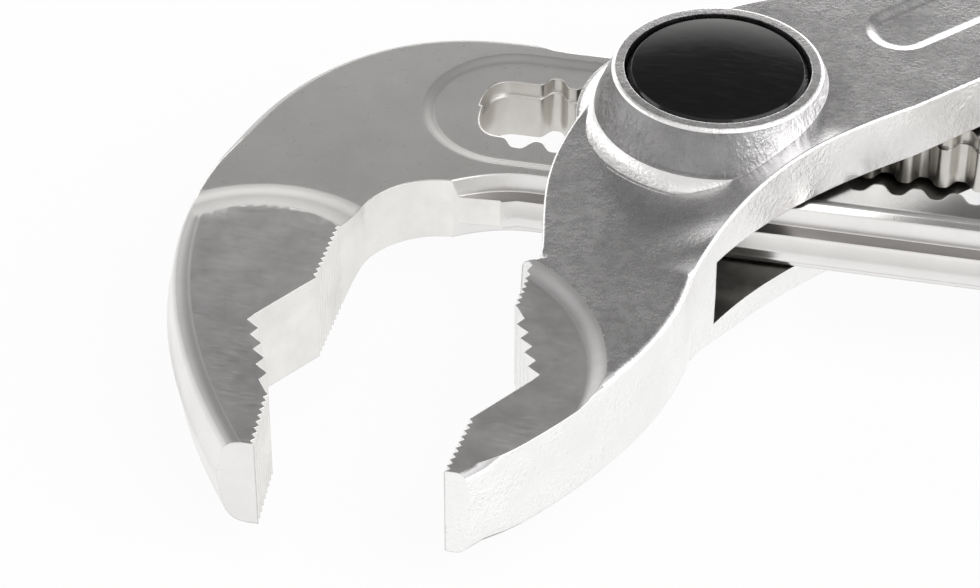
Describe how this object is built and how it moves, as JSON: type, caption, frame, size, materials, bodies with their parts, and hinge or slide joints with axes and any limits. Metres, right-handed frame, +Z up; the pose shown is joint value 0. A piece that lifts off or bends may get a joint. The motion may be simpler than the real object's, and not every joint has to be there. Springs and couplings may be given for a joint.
{
  "type": "water pump pliers",
  "caption": "Box-joint water pump pliers: a hook jaw on a slotted arm, a second jaw on a lever the arm passes through, a push-button lock and sleeved handles.",
  "frame": {"origin": "on the pivot axis, at the outer face of the back cover that the tool lies on", "axes": "+X along the slotted arm towards its handle, +Y towards the other lever's handle side, +Z up along the pivot axis towards the button"},
  "size_m": [0.2485, 0.197, 0.0218],
  "materials": {
    "forged_steel": "forged, satin plated, with ground jaw faces",
    "bright_steel": "turned",
    "black_plastic": "gloss",
    "grip_vinyl": "dipped, satin"
  },
  "bodies": {
    "box_lever": {"box_lever": "forged_steel", "box_lever_grip": "grip_vinyl", "back_cover": "bright_steel"},
    "carrier": {"thrust_washer": "bright_steel", "return_spring": "bright_steel"},
    "lock_bolt": {"lock_bolt": "bright_steel", "push_button": "black_plastic"},
    "slotted_lever": {"slotted_lever": "forged_steel", "slotted_lever_grip": "grip_vinyl"}
  },
  "joints": [
    {"name": "pivot", "type": "hinge", "parent": "box_lever", "child": "carrier", "pos_m": [0, 0, 0.0098], "axis": [0, 0, -1], "range_deg": [-2, 32]},
    {"name": "button_press", "type": "slide", "parent": "carrier", "child": "lock_bolt", "axis": [0, 0, -1], "range_m": [0, 0.0028], "stiffness_N_per_m": 1200, "springref_m": -0.003, "deforming": ["return_spring"]},
    {"name": "jaw_adjust", "type": "slide", "parent": "carrier", "child": "slotted_lever", "axis": [-1, 0, 0], "range_m": [-0.0154, 0.0308]}
  ]
}
